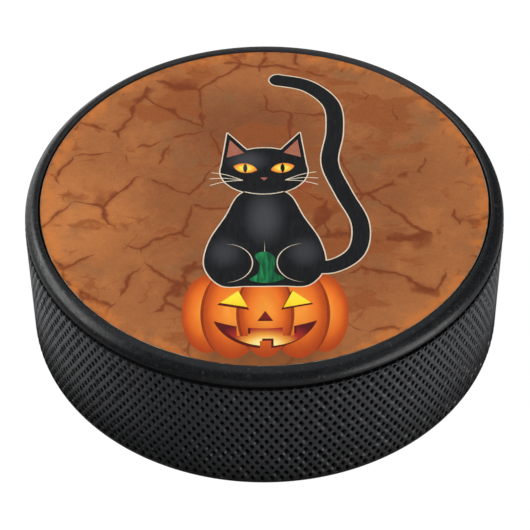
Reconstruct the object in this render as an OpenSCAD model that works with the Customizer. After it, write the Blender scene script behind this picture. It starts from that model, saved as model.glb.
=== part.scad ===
// Ice hockey puck: one moulded rubber disc with a knurled side, a smooth bevelled rim and a printed
// top. Millimetres, +Z up, origin at the middle of the underside. The picture's up is +Y.

/* [Puck] */
// Diameter over the crests of the knurl
puck_d = 76.2; // [70:0.1:82]
// Thickness
puck_h = 25.4; // [22:0.1:28]
// Height of the smooth rim above the groove
rim_h = 2.25; // [2:0.05:2.6]
// How far the rim and the foot stand in from the crests
rim_set_in = 0.1; // [0:0.05:0.3]
// Size of the bevel around the top edge
bevel = 1.35; // [1:0.05:1.5]
// Radius that blends the bevel into the top and the side
bevel_blend = 1.75; // [0.2:0.05:1.8]
// Width of the top's ring from the recess to the bevel
face_ring_w = 0.75; // [0.75:0.05:1.5]
// Width of the groove between the rim and the knurl
groove_w = 0.8; // [0.3:0.05:1]
// Depth of the groove below the crests, more than a pit's
groove_depth = 0.6; // [0.5:0.05:0.9]
// Radius of the rounding at the bottom edge, where the knurl starts
foot_round = 1.1; // [0.6:0.1:1.6]
// Depth of the shallow recess in each face
recess_depth = 0.4; // [0.2:0.05:0.5]
// Depth of the narrow channel around the print, below the floor of the top's recess
channel_depth = 0.4; // [0.1:0.05:0.6]

/* [Knurl] */
// Pits in one row around the side
pits_around = 160; // [80:2:170]
// Rows of pits, each row half a pit round from the last
pit_rows = 17; // [8:1:17]
// Depth of a pit below the crests
pit_depth = 0.35; // [0.1:0.05:0.45]

/* [Print] */
// Gap from the recess wall to the white base coat
base_gap = 0.4; // [0.05:0.05:0.6]
// White edge left showing around the colours
base_edge = 0.06; // [0:0.02:0.5]
// Thickness of the white base coat
base_t = 0.05; // [0.03:0.01:0.08]
// Thickness of the coloured ink
ink_t = 0.05; // [0.03:0.01:0.08]
// Width of the pale line around the cat
halo_w = 0.2; // [0.1:0.05:0.5]
// Width of the pumpkin's creases at their widest
crease_w = 0.5; // [0.2:0.05:0.8]

/* [Hidden] */
$fn = 180;

puck_r = puck_d / 2;
rim_r = puck_r - rim_set_in;
core_r = puck_r - groove_depth;
band_z = foot_round;
band_h = puck_h - rim_h - groove_w - foot_round;
row_h = band_h / pit_rows;
recess_r = rim_r - bevel - face_ring_w;
base_r = recess_r - base_gap;
print_r = base_r - base_edge;
base_z = puck_h - recess_depth;
ink_z = base_z + base_t;

// the picture is drawn on a disc of this radius and scaled to the print
drawn_r = 35.4;
picture_scale = print_r / drawn_r;

// ---- knurl ----------------------------------------------------------------------------------

// The grid has two columns for each pit, a level for each row of pits, and a level at each end of
// the band. Where column + level is even lies the bottom of a pit, and where it is odd two crests
// cross. The end levels have no pits.
columns = 2 * pits_around;
function is_pit(i, k) = (i + k) % 2 == 0 && k > 0 && k <= pit_rows;
function level_z(k) = band_z + min(max(k - 0.5, 0), pit_rows) * row_h;
function grid_point(i, k) =
  let (a = i * 360 / columns, r = is_pit(i, k) ? puck_r - pit_depth : puck_r)
  [r * cos(a), r * sin(a), level_z(k)];
function at(i, k) = k * columns + i % columns;

band_points = [for (k = [0 : pit_rows + 1], i = [0 : columns - 1]) grid_point(i, k)];
bottom_middle = len(band_points);
top_middle = bottom_middle + 1;
middle_points = [[0, 0, band_z], [0, 0, band_z + band_h]];

// each square of the grid is folded along the line that joins its two crests
function square_facets(a, b, c, d, folded_bd) =
  folded_bd ? [[a, d, b], [c, b, d]] : [[b, a, c], [d, c, a]];
side_facets = [
  for (k = [0 : pit_rows], i = [0 : columns - 1])
    each square_facets(at(i, k), at(i + 1, k), at(i + 1, k + 1), at(i, k + 1), (i + k) % 2 == 0)
];
end_facets = [
  for (i = [0 : columns - 1])
    each [
      [bottom_middle, at(i, 0), at(i + 1, 0)],
      [top_middle, at(i + 1, pit_rows + 1), at(i, pit_rows + 1)],
    ]
];

module knurled_band() {
  polyhedron(
    points = concat(band_points, middle_points),
    faces = concat(side_facets, end_facets),
    convexity = 4
  );
}

// ---- rubber ---------------------------------------------------------------------------------

// half section of the top rim, from the axis out, upside down with its face on the line y = 0
module rim_section() {
  difference() {
    intersection() {
      square([rim_r, rim_h]);
      offset(r = bevel_blend, $fn = 96) offset(delta = -bevel_blend)
        polygon([[-rim_r, 0], [rim_r - bevel, 0], [rim_r, bevel], [rim_r, puck_h], [-rim_r, puck_h]]);
    }
    square([recess_r, recess_depth]);
    translate([base_r, 0]) square([base_gap, recess_depth + channel_depth]);
  }
}

// half section of the foot, with the underside on the line y = 0
module foot_section() {
  difference() {
    union() {
      square([rim_r - foot_round, foot_round]);
      intersection() {
        translate([rim_r - foot_round, foot_round]) circle(r = foot_round);
        square([rim_r, foot_round]);
      }
    }
    square([recess_r, recess_depth]);
  }
}

module smooth_core() {
  rotate_extrude() {
    foot_section();
    translate([0, foot_round]) square([core_r, puck_h - foot_round - rim_h]);
    translate([0, puck_h]) mirror([0, 1]) rim_section();
  }
}

module rubber_puck() {
  color([0.13, 0.13, 0.13]) {
    smooth_core();
    knurled_band();
  }
}

// ---- outline tools --------------------------------------------------------------------------

// the point t of the way from b to c on a smooth curve that passes through a, b, c and d
function curve_point(a, b, c, d, t) =
  b + t * (c - a) / 2 + t * t * (a - 2.5 * b + 2 * c - d / 2) + t * t * t * (1.5 * (b - c) + (d - a) / 2);

// a closed smooth outline through the points of p
function smooth_loop(p, steps = 6) =
  let (n = len(p))
  [for (i = [0 : n - 1], s = [0 : steps - 1])
    curve_point(p[(i + n - 1) % n], p[i], p[(i + 1) % n], p[(i + 2) % n], s / steps)];

// an open smooth curve through the points of p
function smooth_line(p, steps = 8) =
  let (n = len(p) - 1)
  concat(
    [for (i = [0 : n - 1], s = [0 : steps - 1])
      curve_point(p[max(i - 1, 0)], p[i], p[i + 1], p[min(i + 2, n)], s / steps)],
    [p[n]]
  );

// the points of q moved sideways by d
function beside(q, d) =
  let (n = len(q) - 1)
  [for (i = [0 : n])
    let (along = q[min(i + 1, n)] - q[max(i - 1, 0)], side = [-along.y, along.x] / norm(along))
    q[i] + d * side];

function backwards(q) = [for (i = [len(q) - 1 : -1 : 0]) q[i]];

// radius of the arc that rises h over a half chord c
function arc_radius(h, c) = (h * h + c * c) / (2 * h);

// an oval of half sizes rx and ry
module oval(rx, ry, sides = 48) {
  polygon([for (a = [0 : 360 / sides : 359]) [rx * cos(a), ry * sin(a)]]);
}

// the shape that two equal arcs enclose, half as long as half_l and half as high as half_h
module lens(half_l, half_h) {
  r = arc_radius(half_h, half_l);
  intersection() {
    translate([0, half_h - r]) circle(r = r);
    translate([0, r - half_h]) circle(r = r);
  }
}

// both sides of a shape that is alike left and right
module both_sides() {
  children();
  mirror([1, 0]) children();
}

// ---- pumpkin --------------------------------------------------------------------------------

pumpkin_y = -24.8;
// each lobe, from the middle out: [distance from the middle, half width, half height]
lobes = [[0, 3.9, 9], [4.9, 4.4, 9.2], [8.7, 3.9, 8]];
stem_points = [
  [-2.3, -17.9], [-1.1, -16.6], [-0.8, -14.6], [-1.5, -12.6], [0.3, -11.9], [1.6, -13.4],
  [1.5, -16.2], [2.9, -17.7], [0.2, -18.6],
];
carved_eye = [[2.4, -24.2], [7.3, -23.1], [4.1, -20.2]];
carved_nose = [[-1.2, -26.5], [1.2, -26.5], [0, -24.4]];
grin_half_w = 7.8;
grin_end_y = -26.4;
grin_top_y = -28;
grin_bottom_y = -32;
tooth_w = 1.7;
tooth_h = 1.5;
upper_tooth_x = 2.6;
cut_edge = [0.35, 0.45];

module lobe(i, wider = 0) {
  translate([lobes[i][0], pumpkin_y]) oval(lobes[i][1] + wider, lobes[i][2]);
}

module pumpkin_outline() {
  both_sides() for (i = [0 : len(lobes) - 1]) lobe(i);
}

// the dark line on the outer side of each lobe that has another behind it
module pumpkin_creases() {
  both_sides() for (i = [0 : len(lobes) - 2]) {
    difference() {
      lobe(i, wider = crease_w);
      for (j = [0 : i]) lobe(j);
      translate([-drawn_r, -drawn_r]) square([drawn_r + lobes[i][0], drawn_r]);
    }
  }
}

module grin() {
  bottom_r = arc_radius(grin_end_y - grin_bottom_y, grin_half_w);
  top_r = arc_radius(grin_end_y - grin_top_y, grin_half_w);
  difference() {
    translate([0, grin_bottom_y + bottom_r]) circle(r = bottom_r);
    translate([0, grin_top_y + top_r]) circle(r = top_r);
    both_sides() translate([upper_tooth_x, grin_top_y - tooth_h]) square([tooth_w, 2 * tooth_h]);
    translate([-tooth_w / 2, grin_bottom_y - tooth_h]) square([tooth_w, 2 * tooth_h]);
  }
}

module carved_openings() {
  both_sides() polygon(carved_eye);
  polygon(carved_nose);
  grin();
}

module candle_glow() {
  intersection() {
    carved_openings();
    translate(cut_edge) carved_openings();
  }
}

module stem() {
  polygon(smooth_loop(stem_points));
}

// ---- cat ------------------------------------------------------------------------------------

// right half of the sitting body, from the neck down to the middle of the feet
body_half = [[0, 2.4], [3.9, 0.8], [6.1, -4.2], [8.6, -9.6], [9.3, -15], [6.8, -19], [2.6, -19.2]];
tail_points = [
  [5.5, -14.6], [10.2, -15.2], [14.2, -12], [15, -5.8], [12.6, 1], [10.6, 8], [11.6, 15.4],
  [11.2, 22], [7.4, 26.6], [2.4, 28.2],
];
tail_half_w = 1.35;
head_y = 6.2;
head_half = [7, 5.4];
ear = [[1.7, 3.6], [5.9, 9], [6.9, 0.4]];
inner_ear = [[3.2, 4.3], [5.5, 7.4], [6, 3.2]];
eye_x = 3;
eye_y = 0.7;
eye_tilt = 14;
eye_half_l = 1.95;
eye_half_h = 1.1;
pupil_half_w = 0.35;
cat_nose = [[-0.6, -1.5], [0.6, -1.5], [0, -2.2]];
haunch_at = [5.9, -14.3];
haunch_r = 4.1;
leg_line = [[0, -9.5], [0.16, -18], [-0.16, -18]];
line_w = 0.18;
whisker_from = [3.4, -2.1];
whisker = [[0, 0], [2.8, 0.4], [5.3, 0.2]];
whisker_tilts = [-14, 2, 18];
whisker_half_w = 0.07;

module tail() {
  middle = smooth_line(tail_points);
  polygon(concat(beside(middle, tail_half_w), backwards(beside(middle, -tail_half_w))));
  translate(tail_points[len(tail_points) - 1]) circle(r = tail_half_w);
}

module head() {
  oval(head_half.x, head_half.y);
  both_sides() polygon(ear);
}

module body() {
  other_half = [for (i = [len(body_half) - 1 : -1 : 1]) [-body_half[i].x, body_half[i].y]];
  polygon(smooth_loop(concat(body_half, other_half)));
}

module cat_outline() {
  body();
  translate([0, head_y]) head();
  tail();
}

module cat_eyes() {
  translate([0, head_y]) both_sides()
    translate([eye_x, eye_y]) rotate(eye_tilt) lens(eye_half_l, eye_half_h);
}

module cat_pupils() {
  translate([0, head_y]) both_sides()
    translate([eye_x, eye_y]) rotate(90) lens(eye_half_h, pupil_half_w);
}

module ears_and_nose() {
  translate([0, head_y]) {
    both_sides() polygon(inner_ear);
    polygon(cat_nose);
  }
}

module whiskers() {
  line = smooth_line(whisker, steps = 4);
  translate([0, head_y]) both_sides()
    for (tilt = whisker_tilts)
      translate(whisker_from) rotate(tilt)
        polygon(concat(beside(line, whisker_half_w), backwards(beside(line, -whisker_half_w))));
}

// pale lines that part the chin, the haunches and the front legs from the body
module cat_lines() {
  difference() {
    intersection() {
      translate([0, head_y]) oval(head_half.x, head_half.y);
      body();
    }
    translate([0, head_y + line_w]) oval(head_half.x, head_half.y);
  }
  both_sides() difference() {
    translate(haunch_at) circle(r = haunch_r);
    translate(haunch_at + [line_w, 0]) circle(r = haunch_r);
  }
  polygon(leg_line);
}

module cat_with_halo() {
  offset(r = halo_w, $fn = 32) cat_outline();
}

// ---- print ----------------------------------------------------------------------------------

// one layer of ink in the shape of the children
module printed() {
  translate([0, 0, ink_z]) linear_extrude(ink_t) scale(picture_scale) children();
}

module white_base_coat() {
  color([0.93, 0.9, 0.85]) translate([0, 0, base_z]) cylinder(r = base_r, h = base_t);
}

module background_ink() {
  color([0.66, 0.38, 0.2]) printed() difference() {
    circle(r = drawn_r);
    pumpkin_outline();
    cat_with_halo();
    whiskers();
    stem();
  }
}

module pumpkin_ink() {
  color([0.93, 0.48, 0.14]) printed() difference() {
    pumpkin_outline();
    pumpkin_creases();
    carved_openings();
    cat_with_halo();
    stem();
  }
}

module pumpkin_crease_ink() {
  color([0.6, 0.2, 0.04]) printed() difference() {
    intersection() {
      pumpkin_creases();
      pumpkin_outline();
    }
    carved_openings();
    cat_with_halo();
    stem();
  }
}

module carved_edge_ink() {
  color([0.3, 0.08, 0.03]) printed() difference() {
    carved_openings();
    candle_glow();
  }
}

module candle_glow_ink() {
  color([0.98, 0.82, 0.2]) printed() candle_glow();
}

module stem_ink() {
  color([0.1, 0.48, 0.28]) printed() stem();
}

module cat_ink() {
  color([0.1, 0.1, 0.11]) printed() {
    difference() {
      cat_outline();
      cat_lines();
      whiskers();
      cat_eyes();
      ears_and_nose();
      stem();
    }
    intersection() {
      cat_pupils();
      cat_eyes();
    }
  }
}

module cat_outline_ink() {
  color([0.87, 0.78, 0.66]) printed() difference() {
    union() {
      difference() {
        cat_with_halo();
        cat_outline();
      }
      cat_lines();
      whiskers();
    }
    stem();
  }
}

module cat_eye_ink() {
  color([0.97, 0.72, 0.2]) printed() difference() {
    cat_eyes();
    cat_pupils();
  }
}

module ear_ink() {
  color([0.62, 0.36, 0.3]) printed() ears_and_nose();
}

rubber_puck();
white_base_coat();
background_ink();
pumpkin_ink();
pumpkin_crease_ink();
carved_edge_ink();
candle_glow_ink();
stem_ink();
cat_ink();
cat_outline_ink();
cat_eye_ink();
ear_ink();
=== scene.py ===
"""An ice hockey puck: moulded black rubber with a knurled side, and a printed picture on top."""

import math

import bpy
import numpy as np
from mathutils import Matrix, Vector


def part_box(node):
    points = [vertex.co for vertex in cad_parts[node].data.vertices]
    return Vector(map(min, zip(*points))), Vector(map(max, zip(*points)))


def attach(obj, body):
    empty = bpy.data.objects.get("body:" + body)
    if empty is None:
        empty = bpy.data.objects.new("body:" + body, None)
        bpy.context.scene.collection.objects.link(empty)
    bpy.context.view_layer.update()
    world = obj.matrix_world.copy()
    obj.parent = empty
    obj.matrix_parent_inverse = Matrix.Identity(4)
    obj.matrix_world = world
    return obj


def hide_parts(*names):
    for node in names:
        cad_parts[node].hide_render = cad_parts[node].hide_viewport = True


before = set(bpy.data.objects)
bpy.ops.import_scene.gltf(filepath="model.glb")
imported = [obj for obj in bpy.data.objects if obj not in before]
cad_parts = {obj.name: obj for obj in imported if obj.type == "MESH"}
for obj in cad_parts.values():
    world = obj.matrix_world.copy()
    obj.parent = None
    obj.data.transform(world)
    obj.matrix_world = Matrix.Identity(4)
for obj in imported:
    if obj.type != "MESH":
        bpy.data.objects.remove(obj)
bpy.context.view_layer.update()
scene = bpy.context.scene
MM = 0.001

# ---- sizes, from model.glb and the same named sizes as the part -----------------------------

puck_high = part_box("rubber_puck")[1]
PUCK_R = puck_high.x
PUCK_H = puck_high.z

RIM_H = 2.25 * MM
RIM_SET_IN = 0.1 * MM
BEVEL = 1.35 * MM
BEVEL_BLEND = 1.75 * MM
FACE_RING_W = 0.75 * MM
GROOVE_W = 0.8 * MM
GROOVE_DEPTH = 0.6 * MM
FOOT_ROUND = 1.1 * MM
RECESS_DEPTH = 0.4 * MM
CHANNEL_DEPTH = 0.4 * MM
PITS_AROUND = 160
PIT_ROWS = 17
PIT_DEPTH = 0.9 * MM

RIM_R = PUCK_R - RIM_SET_IN
CORE_R = PUCK_R - GROOVE_DEPTH
BAND_Z = FOOT_ROUND
GROOVE_Z = PUCK_H - RIM_H - GROOVE_W
ROW_H = (GROOVE_Z - FOOT_ROUND) / PIT_ROWS
RECESS_R = RIM_R - BEVEL - FACE_RING_W
BASE_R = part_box("white_base_coat")[1].x


# ---- rubber ---------------------------------------------------------------------------------

# one pit of the knurl is a diamond cell of CELL_STEPS by CELL_STEPS faces, whose grid lines
# cross the cell at these places, from ridge to ridge
CELL_STEPS = 5
GRID_LINES = np.array([0, 0.2, 0.35, 0.65, 0.8])
# a pit's wall rises between these distances from its middle, in cells, and the last of its height
# is in the slight crown of the ridges and of the knobs where they cross
PIT_WALL = (0.18, 0.32)
RIDGE_RISE = 0.08
KNOB_RISE = 0.01
# how much smaller, larger, shallower or deeper than the usual one a pit may be
PIT_SIZES = (0.86, 1.12)
PIT_DEPTHS = (0.85, 1.1)
# how much of the next row of pits shows where the band ends at the groove, in rows
OPEN_END = 0.4
# size of the small corners of the groove and the recesses
CORNER = 0.06 * MM
# points in each ring of the smooth foot and rim
RING_COUNT = 320
# edges between faces that turn by more than this look sharp
SHARP_ANGLE = math.radians(48)


def smooth_step(lowest, highest, x):
    t = np.clip((x - lowest) / (highest - lowest), 0, 1)
    return t * t * (3 - 2 * t)


def knurl_height(u, v, size, depth):
    """Height of the knurl from -depth in a pit to 0 on a crest, where u and v count the ridges.

    A pit is a rounded oval with a flat bottom, and the ridges between pits are broad and nearly flat.
    """
    across_u = np.abs(u - np.floor(u) - 0.5)
    across_v = np.abs(v - np.floor(v) - 0.5)
    from_middle = np.cbrt(across_u**3 + across_v**3) / size
    wall = smooth_step(*PIT_WALL, from_middle)
    ridge = smooth_step(0.2, 0.5, np.maximum(across_u, across_v))
    knob = smooth_step(0.2, 0.5, np.minimum(across_u, across_v))
    crown = RIDGE_RISE * (1 - ridge) + KNOB_RISE * (1 - knob)
    return -depth * (1 - wall * (1 - crown))


def arc(middle_r, middle_z, radius, start, end, steps):
    """Points of a rounded corner, with the angles in degrees up from outward."""
    angles = np.radians(np.linspace(start, end, steps + 1))
    return [(middle_r + radius * np.cos(a), middle_z + radius * np.sin(a)) for a in angles]


def foot_profile():
    """Radius and height of the smooth surface from the middle of the underside out to the knurl."""
    profile = [
        (RECESS_R - 2 * CORNER, RECESS_DEPTH),
        (RECESS_R - CORNER / 2, RECESS_DEPTH),
        (RECESS_R, RECESS_DEPTH - CORNER / 2),
        (RECESS_R, CORNER),
        (RECESS_R + CORNER * 0.3, CORNER * 0.3),
        (RECESS_R + CORNER, 0),
    ]
    return profile + arc(RIM_R - FOOT_ROUND, FOOT_ROUND, FOOT_ROUND, -90, 0, 10)


def rim_profile():
    """Radius and height of the smooth surface from the knurl up and in to the middle of the top."""
    groove_top = PUCK_H - RIM_H
    tangent = BEVEL_BLEND * math.tan(math.radians(45 / 2))
    side_z = PUCK_H - BEVEL - tangent
    top_r = RIM_R - BEVEL - tangent
    floor_z = PUCK_H - RECESS_DEPTH
    profile = [
        (CORE_R + CORNER, GROOVE_Z - CORNER / 2),
        (CORE_R, GROOVE_Z + CORNER),
        (CORE_R, groove_top - CORNER),
        (CORE_R + CORNER, groove_top),
        (RIM_R - CORNER, groove_top),
        (RIM_R, groove_top + CORNER),
    ]
    profile += arc(RIM_R - BEVEL_BLEND, side_z, BEVEL_BLEND, 0, 45, 8)
    profile += arc(top_r, PUCK_H - BEVEL_BLEND, BEVEL_BLEND, 45, 90, 8)
    profile += arc(RECESS_R + CORNER / 2, PUCK_H - CORNER / 2, CORNER / 2, 90, 180, 2)
    profile += [
        (RECESS_R, floor_z - CHANNEL_DEPTH + CORNER),
        (RECESS_R - CORNER, floor_z - CHANNEL_DEPTH),
        (BASE_R + CORNER, floor_z - CHANNEL_DEPTH),
        (BASE_R, floor_z - CHANNEL_DEPTH + CORNER),
        (BASE_R, floor_z - CORNER),
        (BASE_R - CORNER, floor_z),
    ]
    return profile


class Shell:
    """A closed surface that is built ring by ring from the underside to the top."""

    def __init__(self):
        self.rings = []
        self.faces = []
        self.total = 0

    def add(self, angle, radius, z):
        """Adds one ring of points and returns their indices."""
        angle, radius, z = np.broadcast_arrays(angle, radius, z)
        self.rings.append(np.stack([radius * np.cos(angle), radius * np.sin(angle), z], 1))
        self.total += len(angle)
        return np.arange(self.total - len(angle), self.total)

    def angles(self, ring):
        points = np.concatenate(self.rings)[ring]
        return np.arctan2(points[:, 1], points[:, 0]) % (2 * np.pi)

    def join(self, below, above):
        """Joins two rings of the same number of points with four-sided faces."""
        self.faces += np.stack([below, np.roll(below, -1), np.roll(above, -1), above], 1).tolist()

    def zip(self, below, above):
        """Joins two rings of any number of points with triangles."""
        loops = []
        for ring in (below, above):
            angles = self.angles(ring)
            order = np.argsort(angles)
            ring = ring[order]
            angles = angles[order]
            closing_angle = angles[0] + 2 * np.pi
            loops.append((np.append(ring, ring[0]).tolist(), np.append(angles, closing_angle)))
        (low, low_angle), (top, top_angle) = loops
        i = j = 0
        while i < len(below) or j < len(above):
            if j == len(above) or (i < len(below) and low_angle[i + 1] <= top_angle[j + 1]):
                self.faces.append([low[i], low[i + 1], top[j]])
                i += 1
            else:
                self.faces.append([low[i], top[j + 1], top[j]])
                j += 1

    def turn(self, profile):
        """Adds the rings of a surface of revolution and returns the first and the last."""
        angle = np.arange(RING_COUNT) * 2 * np.pi / RING_COUNT
        rings = [self.add(angle, r, z) for r, z in profile]
        for below, above in zip(rings, rings[1:]):
            self.join(below, above)
        return rings[0], rings[-1]

    def knurl(self):
        """Adds the knurled band on a grid of diamonds and returns its bottom and top rings."""
        rng = np.random.default_rng(7)
        cells = (PITS_AROUND, 2 * PIT_ROWS + 2 * CELL_STEPS)
        sizes = rng.uniform(*PIT_SIZES, cells)
        depths = PIT_DEPTH * rng.uniform(*PIT_DEPTHS, cells)
        low = -CELL_STEPS // 2
        high = PIT_ROWS * CELL_STEPS - CELL_STEPS // 2
        each = np.arange(PITS_AROUND * CELL_STEPS)
        rings = []
        for level in range(low - 1, high + 2):
            # u and v count the ridges along the two diagonals: u + v runs round and u - v runs up
            odd = level % 2
            along = 2 * each + odd
            u_cell, u_line = np.divmod((along + level) // 2, CELL_STEPS)
            v_cell, v_line = np.divmod((along - level) // 2, CELL_STEPS)
            u = u_cell + GRID_LINES[u_line]
            v = v_cell + GRID_LINES[v_line]
            column = (u + v) / 2
            row = np.clip(u - v, -0.5, PIT_ROWS - 0.5)
            at_end = level <= low or level >= high
            if at_end:
                row = np.full(len(u), -0.5 if level <= low else PIT_ROWS - 0.5)
            pit = (v_cell % PITS_AROUND, (u_cell - v_cell) % cells[1])
            opened = row + OPEN_END * smooth_step(PIT_ROWS - 1, PIT_ROWS - 0.5, row)
            height = knurl_height(column + opened / 2, column - opened / 2, sizes[pit], depths[pit])
            radius = PUCK_R + height - (CORNER if at_end else 0)
            angle = column * 2 * np.pi / PITS_AROUND
            rings.append(self.add(angle, radius, BAND_Z + ROW_H * (row + 0.5)))
            if len(rings) < 3:
                continue
            bottom, middle, top = rings[-3:]
            right = np.roll(middle, -1) if odd else middle
            left = middle if odd else np.roll(middle, 1)
            self.faces += np.stack([bottom, right, top, left], 1).tolist()
        return np.concatenate(rings[:2]), np.concatenate(rings[-2:])

    def cap(self, ring, upward):
        self.faces.append(ring.tolist() if upward else ring[::-1].tolist())


def make_rubber():
    shell = Shell()
    underside, foot_top = shell.turn(foot_profile())
    band_bottom, band_top = shell.knurl()
    groove, top = shell.turn(rim_profile())
    shell.zip(foot_top, band_bottom)
    shell.zip(band_top, groove)
    shell.cap(underside, upward=False)
    shell.cap(top, upward=True)

    mesh = bpy.data.meshes.new("moulded_rubber")
    mesh.from_pydata(np.concatenate(shell.rings).tolist(), [], shell.faces)
    mesh.validate()
    mesh.shade_smooth()
    mesh.set_sharp_from_angle(angle=SHARP_ANGLE)
    piece = bpy.data.objects.new("moulded_rubber", mesh)
    scene.collection.objects.link(piece)
    return piece


# ---- materials ------------------------------------------------------------------------------


class Nodes:
    """The node tree of one material, with a short call for each kind of node.

    Places and sizes are in millimetres, apart from the distance of a bump.
    """

    def __init__(self, name, roughness, specular):
        self.material = bpy.data.materials.new(name)
        self.material.use_nodes = True
        self.tree = self.material.node_tree
        self.shader = self.tree.nodes["Principled BSDF"]
        self.shader.inputs["Roughness"].default_value = roughness
        self.shader.inputs["Specular IOR Level"].default_value = specular
        place = self.add("TexCoord").outputs["Object"]
        self.mm = self.add("VectorMath", [place, None, None, 1000], operation="SCALE").outputs[0]
        self.x, self.y, self.z = self.add("SeparateXYZ", [self.mm]).outputs

    def add(self, kind, inputs=(), **settings):
        node = self.tree.nodes.new("ShaderNode" + kind)
        for key, value in settings.items():
            setattr(node, key, value)
        for socket, value in zip(node.inputs, inputs):
            self.put(socket, value)
        return node

    def put(self, socket, value):
        if isinstance(value, bpy.types.NodeSocket):
            self.tree.links.new(value, socket)
        elif value is not None:
            socket.default_value = value

    def math(self, operation, a, b=None):
        return self.add("Math", [a, b], operation=operation).outputs[0]

    def times(self, a, b):
        return self.math("MULTIPLY", a, b)

    def length(self, a, b):
        """How far it is to a point a across and b up."""
        return self.math("SQRT", self.math("ADD", self.times(a, a), self.times(b, b)))

    def radius(self):
        return self.length(self.x, self.y)

    def step(self, value, lowest, highest, low_out=0, high_out=1):
        """Eases from low_out to high_out as value goes from lowest to highest."""
        node = self.add("MapRange", interpolation_type="SMOOTHSTEP")
        self.put(node.inputs["Value"], value)
        self.put(node.inputs["From Min"], lowest)
        self.put(node.inputs["From Max"], highest)
        self.put(node.inputs["To Min"], low_out)
        self.put(node.inputs["To Max"], high_out)
        return node.outputs[0]

    def noise(self, size, detail=3, roughness=0.5, at=None, seed=0, stretch=(1, 1, 1)):
        """Noise with features about size millimetres across."""
        where = self.add("VectorMath", [at or self.mm, stretch], operation="MULTIPLY").outputs[0]
        node = self.add("TexNoise", noise_dimensions="4D")
        self.put(node.inputs["Vector"], where)
        self.put(node.inputs["W"], seed)
        self.put(node.inputs["Scale"], 1 / size)
        self.put(node.inputs["Detail"], detail)
        self.put(node.inputs["Roughness"], roughness)
        return node

    def warped(self, amount, size, seed, at=None):
        """Coordinates that wander by up to amount millimetres."""
        wander = self.noise(size, at=at, seed=seed).outputs["Color"]
        centred = self.add("VectorMath", [wander, (0.5, 0.5, 0.5)], operation="SUBTRACT")
        moved = self.add("VectorMath", [centred.outputs[0], None, None, 2 * amount], operation="SCALE")
        return self.add("VectorMath", [at or self.mm, moved.outputs[0]], operation="ADD").outputs[0]

    def cell_edge(self, size, at):
        """Distance to the nearest edge of an irregular network, as a share of a cell."""
        node = self.add("TexVoronoi", feature="DISTANCE_TO_EDGE")
        self.put(node.inputs["Vector"], at)
        self.put(node.inputs["Scale"], 1 / size)
        return node.outputs["Distance"]

    def mix(self, share, a, b, blend="MIX"):
        """The colour a with a share of the colour b mixed in."""
        node = self.add("Mix", data_type="RGBA", blend_type=blend)
        colours = [(*v, 1) if isinstance(v, tuple) and len(v) == 3 else v for v in (a, b)]
        self.put(node.inputs[0], share)
        self.put(node.inputs[6], colours[0])
        self.put(node.inputs[7], colours[1])
        return node.outputs[2]

    def oval(self, x, y, half_x, half_y, mirrored=False):
        """0 in the middle of an oval and 1 on its edge. A mirrored one lies on both sides of x = 0."""
        across = self.math("ABSOLUTE", self.x) if mirrored else self.x
        dx = self.math("DIVIDE", self.math("SUBTRACT", across, x), half_x)
        dy = self.math("DIVIDE", self.math("SUBTRACT", self.y, y), half_y)
        return self.length(dx, dy)

    def shaded(self, base, shade, dark, light):
        """The colour base, times dark where shade is 0 and times light where it is 1."""
        factor = self.mix(shade, (dark, dark, dark), (light, light, light))
        return self.mix(1, base, factor, blend="MULTIPLY")

    def bump(self, height, strength, distance):
        node = self.add("Bump")
        self.put(node.inputs["Height"], height)
        self.put(node.inputs["Strength"], strength)
        self.put(node.inputs["Distance"], distance)
        self.put(self.shader.inputs["Normal"], node.outputs[0])

    def colour(self, value):
        self.put(self.shader.inputs["Base Color"], value)
        return self.material


def linear(value):
    """The linear light of a screen colour's value from 0 to 255."""
    share = value / 255
    return share / 12.92 if value < 11 else ((share + 0.055) / 1.055) ** 2.4


def rgb(red, green, blue):
    return linear(red), linear(green), linear(blue)


# Where the rubber's finish and colour change, in millimetres. Going down from the crests, the knurl's
# paler crests fade into clean rubber, and that into pits painted near-black as painted shade.
CREST_FADE = (0.1, 0.45)
PIT_FADE = (0.28, 0.78)
# painted shade darkens the knurl over this much below the groove, and the channel over this much above
# its floor
GROOVE_FADE = 0.25
CHANNEL_FADE = 0.15
# the shade under the rim fades out between these heights above the groove
RIM_FADE = (0.3, 0.9)


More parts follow.
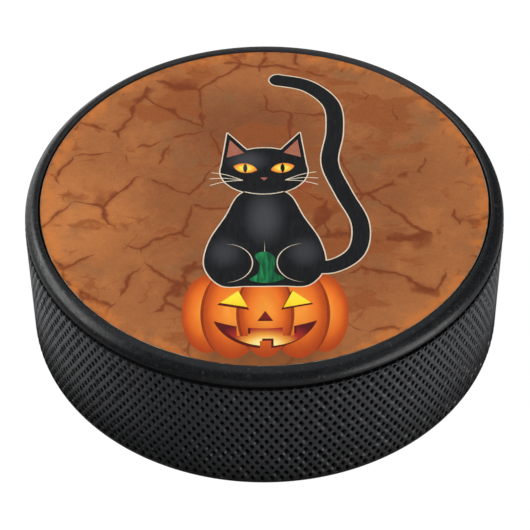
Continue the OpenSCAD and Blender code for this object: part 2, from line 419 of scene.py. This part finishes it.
def rubber_material():
    """Satin black rubber, worn paler on the crests, with the recess wall painted paler as painted light
    and every gap painted black as painted shade.
    """
    n = Nodes("black_rubber", 0.42, 0.21)
    radius = n.radius()
    rim_z = (PUCK_H - RIM_H) / MM
    groove_z = GROOVE_Z / MM
    channel_z = (PUCK_H - RECESS_DEPTH - CHANNEL_DEPTH) / MM
    below_rim = n.math("LESS_THAN", n.z, rim_z)
    on_rim = n.math("GREATER_THAN", n.z, rim_z)
    in_recess = n.times(n.math("LESS_THAN", radius, (RECESS_R + CORNER / 2) / MM), on_rim)
    depth = n.times(n.math("SUBTRACT", PUCK_R / MM, radius), below_rim)
    on_side = n.math("LESS_THAN", depth, (FOOT_ROUND + RIM_SET_IN) / MM)

    # painted shade: the pits, the knurl just below the groove, the channel round the print and the
    # bottom of the rim above the groove are painted near-black where shade falls
    dark = n.times(n.step(depth, *PIT_FADE), on_side)
    by_groove = n.times(n.step(n.z, groove_z - GROOVE_FADE, groove_z), below_rim)
    in_channel = n.times(n.step(n.z, channel_z, channel_z + CHANNEL_FADE, 1, 0), in_recess)
    under_rim = n.times(n.step(n.z, rim_z + RIM_FADE[0], rim_z + RIM_FADE[1], 0.6, 0), on_rim)
    for gap in (by_groove, in_channel, under_rim):
        dark = n.math("MAXIMUM", dark, gap)

    mottle = n.noise(2.2, detail=5, roughness=0.6, seed=1).outputs[0]
    grain = n.noise(0.35, detail=3, roughness=0.6, seed=2).outputs[0]
    both = n.math("ADD", n.times(mottle, 0.5), n.times(grain, 0.5))
    satin = n.step(both, 0.36, 0.64, 0.24, 0.42)
    n.put(n.shader.inputs["Roughness"], n.math("MAXIMUM", satin, n.times(dark, 0.95)))
    n.bump(both, 0.5, 0.11 * MM)

    crest = n.times(n.step(depth, *CREST_FADE, 1, 0), below_rim)
    # painted shade: the crests are painted darker towards the foot, where shade from the floor falls
    crest_colour = n.mix(n.step(n.z, 0, 18), rgb(35, 35, 36), rgb(46, 46, 48))
    rubber = n.mix(crest, rgb(20, 20, 21), crest_colour)
    scuffs = n.step(n.noise(0.5, detail=4, roughness=0.7, seed=3).outputs[0], 0.54, 0.72)
    rubber = n.mix(n.times(scuffs, 0.6), rubber, rgb(78, 78, 80))
    # painted light: the recess wall and channel are painted a paler grey, standing in for the light
    # they catch on the far rim
    rubber = n.mix(in_recess, rubber, rgb(68, 68, 70))
    return n.colour(n.mix(dark, rubber, rgb(2, 2, 2)))


def ink(name):
    """The start of a material for a printed film, with its fine unevenness."""
    n = Nodes(name, 0.55, 0.12)
    film = n.noise(0.3, detail=2, seed=9).outputs[0]
    n.bump(film, 0.12, 0.02 * MM)
    return n


def base_coat_material():
    n = ink("white_base")
    worn = n.step(n.noise(3, detail=4, roughness=0.6, seed=4).outputs[0], 0.4, 0.62)
    return n.colour(n.mix(worn, rgb(150, 108, 74), rgb(216, 196, 170)))


def crease_lines(n, size, width, swell, share, seed):
    """A network of curved creases that fade, and swell into webs by up to swell, as (core, side)."""
    bent = n.warped(0.3, 1.2, seed, at=n.warped(3, 7, seed + 1))
    edge = n.times(n.cell_edge(size, bent), size)
    present = n.noise(size * 0.8, detail=2, seed=seed + 2).outputs[0]
    present = n.step(present, 0.62 - share / 3, 0.75 - share / 3)
    web = n.step(n.noise(size * 0.6, detail=2, seed=seed + 3).outputs[0], 0.54, 0.7, 0, swell)
    wide = n.times(n.math("ADD", present, 0.02), n.math("ADD", web, width))
    core = n.times(n.step(edge, 0, wide, 1, 0), n.step(present, 0.05, 0.4))
    side = n.times(n.step(edge, 0, n.times(wide, 2.5), 1, 0), present)
    return core, side


# soft patches of the field: middle, half width and half height, strength, colour; the first is a darker
# tone of the print, and the second is painted light that makes the left side paler
TONE_AND_LIGHT_PATCHES = [
    (-4, 17, 15, 12, 0.6, rgb(118, 66, 38)),
    (-36, -4, 22, 16, 0.62, rgb(202, 124, 66)),
]


def background_material():
    """Mottled orange-brown paint with clouds, stains, a network of creases, a bright rim, and painted
    light on its left side.
    """
    n = ink("aged_orange_ink")
    clouds = n.noise(15, detail=3, roughness=0.5, seed=11, stretch=(0.8, 1.1, 1)).outputs[0]
    base = n.mix(n.step(clouds, 0.32, 0.66), rgb(146, 86, 47), rgb(168, 101, 55))
    mottle = n.noise(3, detail=6, roughness=0.65, seed=10).outputs[0]
    base = n.mix(n.step(mottle, 0.3, 0.6, 0.7, 0), base, rgb(142, 83, 45))
    base = n.mix(n.step(mottle, 0.52, 0.72, 0, 0.45), base, rgb(190, 116, 62))

    from_middle = n.radius()
    base = n.mix(n.step(from_middle, 12, 24, 0.45, 0), base, rgb(132, 76, 41))
    base = n.mix(n.step(from_middle, 20, 35, 0, 0.6), base, rgb(178, 108, 59))
    for x, y, half_x, half_y, strength, colour in TONE_AND_LIGHT_PATCHES:
        base = n.mix(n.step(n.oval(x, y, half_x, half_y), 0.3, 1, strength, 0), base, colour)

    greyer = n.noise(7, detail=4, seed=15).outputs[0]
    base = n.mix(n.step(greyer, 0.52, 0.68, 0, 0.55), base, rgb(134, 92, 58))
    wandering = n.warped(3, 6, 13)
    flow = n.noise(9, detail=5, roughness=0.55, seed=12, at=wandering, stretch=(0.6, 1.3, 1)).outputs[0]
    base = n.mix(n.step(flow, 0.56, 0.61, 0, 0.75), base, rgb(148, 78, 35))
    ruddy = n.noise(6, detail=3, seed=14).outputs[0]
    base = n.mix(n.step(ruddy, 0.66, 0.76, 0, 0.7), base, rgb(150, 64, 30))

    core, side = crease_lines(n, 10, 0.5, 2.4, 0.6, 16)
    fine_core, _ = crease_lines(n, 5, 0.3, 0.8, 0.3, 30)
    base = n.mix(n.times(side, 0.45), base, rgb(152, 80, 38))
    base = n.mix(n.times(fine_core, 0.6), base, rgb(142, 70, 30))
    base = n.mix(n.times(core, 0.9), base, rgb(120, 54, 22))

    weave = n.noise(0.5, detail=4, roughness=0.7, seed=20, stretch=(0.4, 1.8, 1)).outputs[0]
    fibres = n.noise(0.5, detail=4, roughness=0.7, seed=19, stretch=(1.6, 0.7, 1)).outputs[0]
    for grain in (weave, fibres):
        shade = n.mix(n.step(grain, 0.3, 0.7), (0.93, 0.93, 0.92), (1.07, 1.07, 1.08))
        base = n.mix(1, base, shade, blend="MULTIPLY")
    at_rim = n.times(n.step(from_middle, 32.6, 35), n.step(mottle, 0.42, 0.58))
    base = n.mix(n.times(at_rim, 0.6), base, rgb(214, 122, 52))
    under_pumpkin = n.step(n.oval(0, -33.2, 15, 4.2), 0.4, 1, 0.65, 0)
    return n.colour(n.mix(under_pumpkin, base, rgb(92, 52, 26)))


# the picture's height of the pumpkin's middle, and its lobes on one side of it from the middle
# out, as the distance from the middle, half width and half height
PUMPKIN_Y = -24.8
LOBES = [(0, 3.9, 9), (4.9, 4.4, 9.2), (8.7, 3.9, 8)]


def pumpkin_shade(n):
    """0 in the middle of each lobe and 1 at its edge, with the lobes in front hiding those behind."""
    shade = None
    for x, half_x, half_y in reversed(LOBES):
        here = n.oval(x, PUMPKIN_Y, half_x, half_y, mirrored=True)
        if shade is None:
            shade = here
            continue
        inside = n.math("LESS_THAN", here, 1)
        picked = n.add("Mix", data_type="FLOAT")
        n.put(picked.inputs[0], inside)
        n.put(picked.inputs[2], shade)
        n.put(picked.inputs[3], here)
        shade = picked.outputs[0]
    return shade


def pumpkin_material():
    n = ink("pumpkin_orange_ink")
    shade = pumpkin_shade(n)
    skin = n.mix(n.step(shade, 0.15, 0.75), rgb(252, 150, 52), rgb(238, 112, 30))
    skin = n.mix(n.step(shade, 0.6, 1.0), skin, rgb(190, 72, 20))
    lower = n.step(n.y, -34, -24, 0.55, 0)
    skin = n.mix(lower, skin, rgb(170, 58, 14))
    mottle = n.noise(1.6, detail=4, seed=21, stretch=(1.6, 0.7, 1)).outputs[0]
    return n.colour(n.shaded(skin, mottle, 0.86, 1.1))


def crease_material():
    n = ink("crease_brown_ink")
    return n.colour(n.mix(n.noise(2, seed=22).outputs[0], rgb(128, 44, 10), rgb(166, 62, 14)))


def carved_edge_material():
    n = ink("dark_red_ink")
    return n.colour(n.mix(n.noise(2, seed=23).outputs[0], rgb(62, 12, 8), rgb(112, 24, 14)))


# heights in the picture of the nose's bottom and top, of the eyes' bottom and top, and of the flame
NOSE_Y = (-26.8, -24.3)
EYES_Y = (-24.4, -20.6)
FLAME_Y = -31.4


def glow_material():
    """Yellow eyes, a dark red nose, and a mouth that is dark red round a pale flame."""
    n = ink("glow_yellow_ink")
    eyes = n.mix(n.step(n.y, *EYES_Y), rgb(255, 206, 30), rgb(255, 232, 60))
    mouth_edge = n.step(n.oval(0, FLAME_Y - 0.2, 6.4, 4.2), 0.75, 1.35)
    inside = n.mix(mouth_edge, rgb(176, 44, 34), rgb(86, 16, 22))
    flame = n.mix(n.step(n.oval(0, FLAME_Y, 5.2, 3.2), 0.2, 0.7), rgb(255, 236, 150), rgb(246, 166, 60))
    mouth = n.mix(n.step(n.oval(0, FLAME_Y, 5.6, 3.6), 0.45, 1), flame, inside)
    glow = n.mix(n.step(n.y, NOSE_Y[0] - 0.1, NOSE_Y[0] + 0.1), mouth, rgb(120, 26, 26))
    glow = n.mix(n.step(n.y, NOSE_Y[1] - 0.05, NOSE_Y[1] + 0.05), glow, eyes)
    mottle = n.noise(1.8, seed=24).outputs[0]
    return n.colour(n.shaded(glow, mottle, 0.9, 1.08))


def stem_material():
    n = ink("stem_green_ink")
    ribs = n.noise(1.1, detail=3, seed=25, stretch=(2.6, 0.5, 1)).outputs[0]
    green = n.mix(n.step(ribs, 0.35, 0.65), rgb(12, 84, 50), rgb(36, 148, 84))
    return n.colour(n.mix(n.step(n.x, -1.6, 1.8, 0, 0.55), green, rgb(8, 62, 38)))


# soft highlights on the cat's head, chest and haunches: middle, half width and half height, strength
CAT_LIGHTS = [
    (-2.6, 8.6, 4.2, 3.2, 0.5),
    (0, -4.5, 4, 7.5, 0.55),
    (6.2, -12, 3.4, 4.2, 0.4),
    (-6.2, -12, 3.4, 4.2, 0.4),
]


def cat_material():
    n = ink("cat_black_ink")
    fur = n.noise(0.8, detail=4, roughness=0.65, seed=26, stretch=(2.2, 0.45, 1)).outputs[0]
    coat = n.mix(n.step(fur, 0.35, 0.7), rgb(13, 13, 14), rgb(27, 27, 28))
    for x, y, half_x, half_y, strength in CAT_LIGHTS:
        light = n.step(n.oval(x, y, half_x, half_y), 0.1, 1, strength, 0)
        coat = n.mix(light, coat, rgb(86, 86, 90))
    return n.colour(coat)


def outline_material():
    n = ink("outline_cream_ink")
    return n.colour(n.mix(n.noise(1.2, seed=27).outputs[0], rgb(214, 190, 160), rgb(238, 222, 200)))


def eye_material():
    n = ink("eye_amber_ink")
    iris = n.oval(3, 6.9, 2, 1.2, mirrored=True)
    return n.colour(n.mix(n.step(iris, 0.25, 1), rgb(255, 226, 84), rgb(238, 128, 36)))


def ear_material():
    n = ink("ear_pink_ink")
    return n.colour(n.mix(n.noise(1.2, seed=28).outputs[0], rgb(150, 84, 66), rgb(186, 116, 92)))


MATERIALS = {
    "white_base_coat": base_coat_material,
    "background_ink": background_material,
    "pumpkin_ink": pumpkin_material,
    "pumpkin_crease_ink": crease_material,
    "carved_edge_ink": carved_edge_material,
    "candle_glow_ink": glow_material,
    "stem_ink": stem_material,
    "cat_ink": cat_material,
    "cat_outline_ink": outline_material,
    "cat_eye_ink": eye_material,
    "ear_ink": ear_material,
}


def dress(piece, material):
    piece.data.materials.clear()
    piece.data.materials.append(material)


# ---- stage ----------------------------------------------------------------------------------

# the floor is just below the rest face, so that the two don't share a plane
FLOOR_Z = -0.02 * MM
# width of the dark ring round the foot
FLAG_W = 4 * MM
# radius and height of the floor and of the wall that it turns up into
SWEEP = [(0.3, FLOOR_Z), (3.0, FLOOR_Z), (3.6, 0.3), (3.8, 0.9), (3.8, 4.0)]
STAGE_SIDES = 64


def make_stage_piece(name, profile, material, bottom=False):
    """A turned surface with the given radii and heights. The bottom closes its first ring."""
    turns = [2 * math.pi * i / STAGE_SIDES for i in range(STAGE_SIDES)]
    points = [(r * math.cos(a), r * math.sin(a), z) for r, z in profile for a in turns]
    faces = [tuple(range(STAGE_SIDES))] if bottom else []
    for first in range(0, STAGE_SIDES * (len(profile) - 1), STAGE_SIDES):
        for i in range(STAGE_SIDES):
            j = (i + 1) % STAGE_SIDES
            faces.append((first + i, first + j, first + STAGE_SIDES + j, first + STAGE_SIDES + i))
    mesh = bpy.data.meshes.new(name)
    mesh.from_pydata(points, [], faces)
    piece = bpy.data.objects.new(name, mesh)
    scene.collection.objects.link(piece)
    dress(piece, material)
    return piece


def make_sweep():
    """A white floor that turns up into a wall all round. It only backs the view."""
    n = Nodes("white_paper", 0.9, 0.1)
    n.shader.inputs["Emission Color"].default_value = (1, 1, 1, 1)
    n.shader.inputs["Emission Strength"].default_value = 1
    sweep = make_stage_piece("white_sweep", SWEEP, n.colour((0.02, 0.02, 0.02, 1)), bottom=True)
    sweep.visible_diffuse = False
    sweep.visible_glossy = False
    sweep.visible_shadow = False


def make_flag():
    """A dark ring round the foot that holds back the light from below. The camera doesn't see it."""
    n = Nodes("black_card", 0.9, 0.1)
    profile = [(PUCK_R, FLOOR_Z), (PUCK_R + FLAG_W, FLOOR_Z)]
    flag = make_stage_piece("floor_flag", profile, n.colour((0.01, 0.01, 0.01, 1)))
    flag.visible_camera = False


def make_light(name, toward, width, height, radiance, colour=(1, 1, 1), distance=0.8):
    """An oval soft light that faces the puck from the direction toward. Sizes are metres."""
    light = bpy.data.lights.new(name, "AREA")
    light.shape = "ELLIPSE"
    light.size = width
    light.size_y = height
    light.energy = radiance * math.pi * math.pi * width * height / 4
    light.color = colour
    piece = bpy.data.objects.new(name, light)
    direction = Vector(toward).normalized()
    piece.location = Vector((0, 0, PUCK_H)) + distance * direction
    piece.rotation_euler = direction.to_track_quat("Z", "Y").to_euler()
    piece.visible_camera = False
    scene.collection.objects.link(piece)


def make_lights():
    world = bpy.data.worlds.new("studio")
    world.use_nodes = True
    sky = world.node_tree.nodes["Background"]
    sky.inputs["Color"].default_value = (0.9, 0.95, 1, 1)
    sky.inputs["Strength"].default_value = 0.12
    scene.world = world
    make_light("left_softbox", (-0.88, 0.17, 0.4), 0.88, 0.44, 7.8)
    make_light("left_bounce", (-0.66, 0.3, -0.72), 1, 1, 0.5)
    make_light("rear_softbox", (0.1, 0.9, 0.34), 0.6, 0.6, 0.9)
    make_light("back_card", (-0.5, 0.8, -0.1), 0.6, 0.6, 1.3)
    make_light("right_softbox", (0.82, -0.5, -0.12), 0.8, 0.8, 5)
    make_light("right_bounce", (0.66, 0.3, -0.72), 1, 1, 0.35)
    make_light("top_softbox", (0, 0.05, 1), 1.5, 1.5, 1.1, colour=(0.85, 0.94, 1), distance=0.9)
    make_light("front_card", (0, -0.97, -0.3), 0.8, 0.8, 0.6)


# the lens and sensor in millimetres, and how the camera stands in front of the puck's middle, with
# the puck moved by AIM to the right and up in the picture
LENS = 153.5
SENSOR = 36
DISTANCE = 367.3 * MM
ELEVATION = math.radians(45.6)
ROLL = math.radians(-0.52)
AIM = (-0.03 * MM, 2.0 * MM)


def make_camera():
    data = bpy.data.cameras.new("camera")
    data.lens = LENS
    data.sensor_width = SENSOR
    data.clip_start = 0.01
    camera = bpy.data.objects.new("camera", data)
    middle = Vector((0, 0, PUCK_H / 2))
    back = Vector((0, -math.cos(ELEVATION), math.sin(ELEVATION)))
    right = Vector((1, 0, 0))
    up = back.cross(right)
    target = middle - AIM[0] * right - AIM[1] * up
    place = middle + DISTANCE * back
    turn = (target - place).to_track_quat("-Z", "Y").to_matrix().to_4x4()
    camera.matrix_world = Matrix.Translation(place) @ turn @ Matrix.Rotation(ROLL, 4, "Z")
    scene.collection.objects.link(camera)
    scene.camera = camera


# ---- assembly -------------------------------------------------------------------------------

scene.view_settings.view_transform = "Standard"
make_camera()
make_sweep()
make_flag()
make_lights()

rubber = make_rubber()
dress(rubber, rubber_material())
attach(rubber, "root")
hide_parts("rubber_puck")

for node, material in MATERIALS.items():
    dress(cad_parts[node], material())
